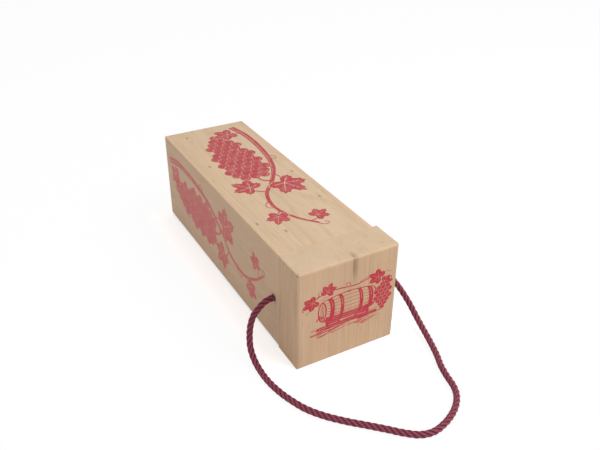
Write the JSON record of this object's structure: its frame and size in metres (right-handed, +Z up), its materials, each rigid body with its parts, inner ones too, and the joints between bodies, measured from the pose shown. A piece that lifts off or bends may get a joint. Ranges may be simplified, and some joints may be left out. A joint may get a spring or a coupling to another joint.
{
  "type": "wooden wine box",
  "caption": "Long pine box for one bottle, with a solid pull-off lid block on battens and a twisted rope handle knotted through its side boards.",
  "frame": {"origin": "on the surface that the box lies on, under the middle of the box without its rope", "axes": "+Y along the box from the lid to the far end, +X to the right as the lid's face is looked at, +Z up"},
  "size_m": [0.1854, 0.4828, 0.114],
  "materials": {
    "pine_side_board": "sanded bare pine, grain along the board",
    "pine_level_board": "sanded bare pine, grain along the board",
    "pine_lid_block": "sanded bare pine, grain upright, end grain on top",
    "pine_batten": "sawn pine",
    "brad_steel": "plain steel",
    "rope": "four twisted strands, dark wine red",
    "print_ink": "matt red ink printed on bare wood"
  },
  "bodies": {
    "box": {"left_side_board": "pine_side_board", "right_side_board": "pine_side_board", "top_board": "pine_level_board", "bottom_board": "pine_level_board", "end_board": "pine_level_board", "rope_handle": "rope", "left_rope_knot": "rope", "right_rope_knot": "rope"},
    "lid": {"lid_block": "pine_lid_block", "upper_batten": "pine_batten", "lower_batten": "pine_batten", "batten_brads": "brad_steel"}
  },
  "joints": [
    {"name": "lid_pull", "type": "slide", "parent": "box", "child": "lid", "axis": [0, -1, 0], "range_m": [0, 0.068]}
  ]
}
